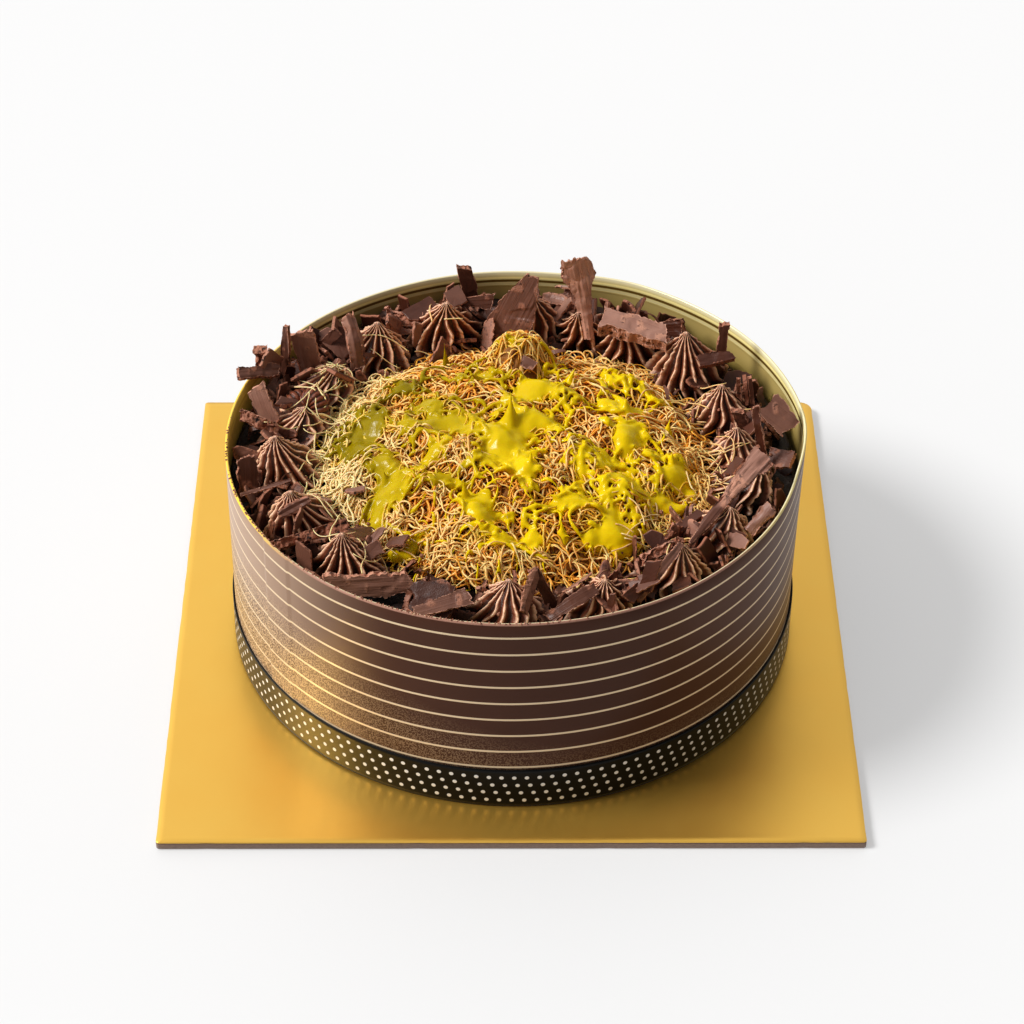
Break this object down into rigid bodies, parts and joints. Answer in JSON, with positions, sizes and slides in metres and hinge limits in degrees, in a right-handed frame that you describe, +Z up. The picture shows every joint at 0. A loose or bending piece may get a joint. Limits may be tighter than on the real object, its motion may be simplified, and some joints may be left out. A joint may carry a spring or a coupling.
{
  "type": "pistachio kunafa cake",
  "caption": "Round chocolate cake in a striped collar and dotted ribbon, topped with kunafa, pistachio cream, piped rosettes and shards, on a gold board.",
  "frame": {"origin": "centre of the square board's underside", "axes": "+Z up, -Y towards the side that the picture shows, +X to its right"},
  "size_m": [0.25, 0.25, 0.1191],
  "materials": {
    "gold_board": "satin gold foil on grey cardboard, raw edge",
    "cocoa_cream": "dark chocolate cream, moist",
    "printed_collar": "glossy dark brown with thin gold lines, gold inside",
    "dotted_ribbon": "black satin with white dots",
    "kunafa_and_pistachio_cream": "golden toasted kataifi strands with glossy pistachio cream",
    "piped_chocolate": "piped milk chocolate cream, soft sheen",
    "shaved_chocolate": "broken and shaved chocolate, satin faces and rough breaks"
  },
  "bodies": {
    "root": {"board": "gold_board", "cake_body": "cocoa_cream", "collar": "printed_collar", "ribbon": "dotted_ribbon", "kunafa": "kunafa_and_pistachio_cream", "rosette_01": "piped_chocolate", "rosette_02": "piped_chocolate", "rosette_03": "piped_chocolate", "rosette_04": "piped_chocolate", "rosette_05": "piped_chocolate", "rosette_06": "piped_chocolate", "rosette_07": "piped_chocolate", "rosette_08": "piped_chocolate", "rosette_09": "piped_chocolate", "rosette_10": "piped_chocolate", "rosette_11": "piped_chocolate", "rosette_12": "piped_chocolate", "rosette_13": "piped_chocolate", "rosette_14": "piped_chocolate", "rosette_15": "piped_chocolate", "rosette_16": "piped_chocolate", "rosette_17": "piped_chocolate", "rosette_18": "piped_chocolate", "shard_01": "shaved_chocolate", "shard_02": "shaved_chocolate", "shard_03": "shaved_chocolate", "shard_04": "shaved_chocolate", "shard_05": "shaved_chocolate", "shard_06": "shaved_chocolate", "shard_07": "shaved_chocolate", "shard_08": "shaved_chocolate", "shard_09": "shaved_chocolate", "shard_10": "shaved_chocolate", "shard_11": "shaved_chocolate", "shard_12": "shaved_chocolate", "shard_13": "shaved_chocolate", "shard_14": "shaved_chocolate", "shard_15": "shaved_chocolate", "shard_16": "shaved_chocolate", "shard_17": "shaved_chocolate", "shard_18": "shaved_chocolate", "shard_19": "shaved_chocolate", "shard_20": "shaved_chocolate", "shard_21": "shaved_chocolate", "shard_22": "shaved_chocolate", "shard_23": "shaved_chocolate", "shard_24": "shaved_chocolate", "shard_25": "shaved_chocolate", "shard_26": "shaved_chocolate", "shard_27": "shaved_chocolate", "shard_28": "shaved_chocolate", "shard_29": "shaved_chocolate", "shard_30": "shaved_chocolate", "shard_31": "shaved_chocolate", "shard_32": "shaved_chocolate", "shard_33": "shaved_chocolate", "shard_34": "shaved_chocolate", "shard_35": "shaved_chocolate", "shard_36": "shaved_chocolate", "shard_37": "shaved_chocolate"}
  },
  "joints": []
}
